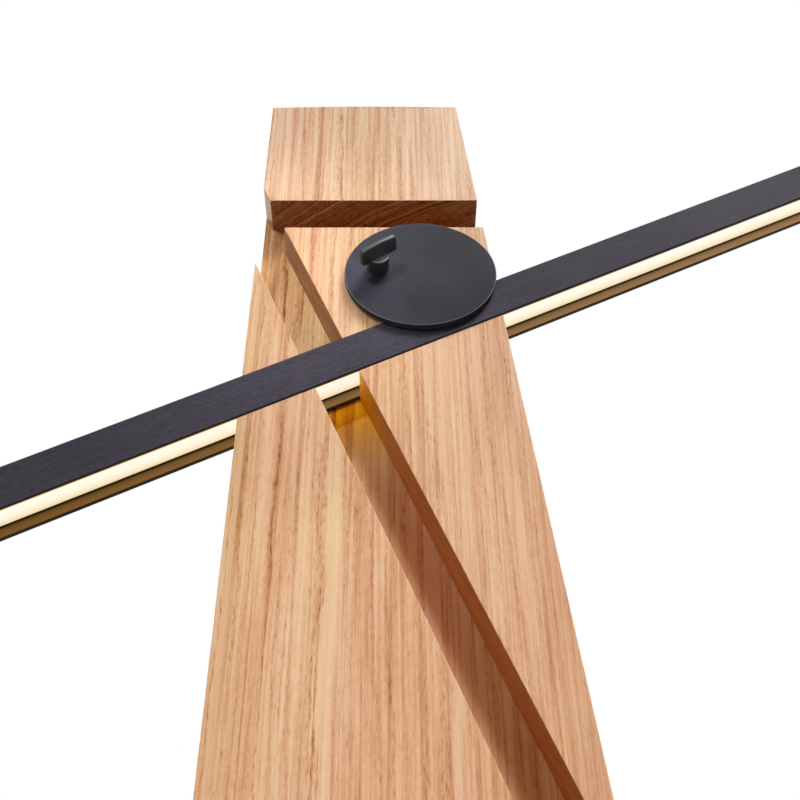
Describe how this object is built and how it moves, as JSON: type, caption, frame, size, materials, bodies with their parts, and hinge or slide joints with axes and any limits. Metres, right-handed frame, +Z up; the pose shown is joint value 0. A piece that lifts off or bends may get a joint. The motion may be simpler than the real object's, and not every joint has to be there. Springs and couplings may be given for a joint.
{
  "type": "wooden floor lamp",
  "caption": "Floor lamp with a tapered wooden post; an eccentric disc with a wing screw clamps a black light bar in one of the slots across its face.",
  "frame": {"origin": "on the floor, under the middle of the post's foot and of the floor plate", "axes": "+Z up, +X to the right as seen from the front, the slotted front of the post faces -Y"},
  "size_m": [1.0795, 0.24, 1.6421],
  "materials": {
    "wood": "oiled, straight grain",
    "plate_metal": "matte powder coat",
    "disc_metal": "matte black",
    "bar_metal": "black, brushed lengthwise",
    "button_metal": "satin",
    "steel": "zinc plated",
    "brass": "plain",
    "liner": "matte",
    "felt": "felt",
    "knob_plastic": "satin black",
    "cap_plastic": "fine texture",
    "opal": "opal, lit",
    "board": "white solder mask",
    "dimmer": "green solder mask",
    "chip": "phosphor",
    "lead": "insulated wire"
  },
  "bodies": {
    "stand": {"post": "wood", "floor_plate": "plate_metal", "plate_screws": "steel", "floor_pad": "felt", "threaded_insert": "brass", "pivot_washer": "brass"},
    "light_bar": {"bar_channel": "bar_metal", "lens": "opal", "led_board": "board", "led_chips": "chip", "dimmer_board": "dimmer", "inner_leads": "lead", "end_cap_left": "cap_plastic", "end_cap_right": "cap_plastic", "cap_screws": "steel", "cord_gland": "cap_plastic", "gland_nut": "cap_plastic", "switch_body": "cap_plastic", "switch_nut": "bar_metal"},
    "disc": {"clamp_disc": "disc_metal", "disc_liner": "liner"},
    "washer": {"knob_washer": "steel"},
    "knob": {"clamp_knob": "knob_plastic", "clamp_stud": "steel"},
    "button": {"switch_button": "button_metal"}
  },
  "joints": [
    {"name": "bar_slide", "type": "slide", "parent": "stand", "child": "light_bar", "axis": [0.8805, 0, 0.4741], "range_m": [-0.25, 0.25]},
    {"name": "disc_turn", "type": "hinge", "parent": "stand", "child": "disc", "pos_m": [-0.0595, -0.035, 1.4061], "axis": [0, -1, 0], "continuous": true},
    {"name": "knob_ease", "type": "slide", "parent": "stand", "child": "washer", "axis": [0, -1, 0], "range_m": [0, 0.002]},
    {"name": "knob_turn", "type": "hinge", "parent": "washer", "child": "knob", "pos_m": [-0.0595, -0.035, 1.4061], "axis": [0, -1, 0], "range_deg": [0, 720]},
    {"name": "button_press", "type": "slide", "parent": "light_bar", "child": "button", "axis": [0, 1, 0], "range_m": [0, 0.0012], "stiffness_N_per_m": 1500}
  ],
  "couplings": [
    {"joint": "knob_ease", "follows": "knob_turn", "m_per_rad": 0.00015915}
  ]
}
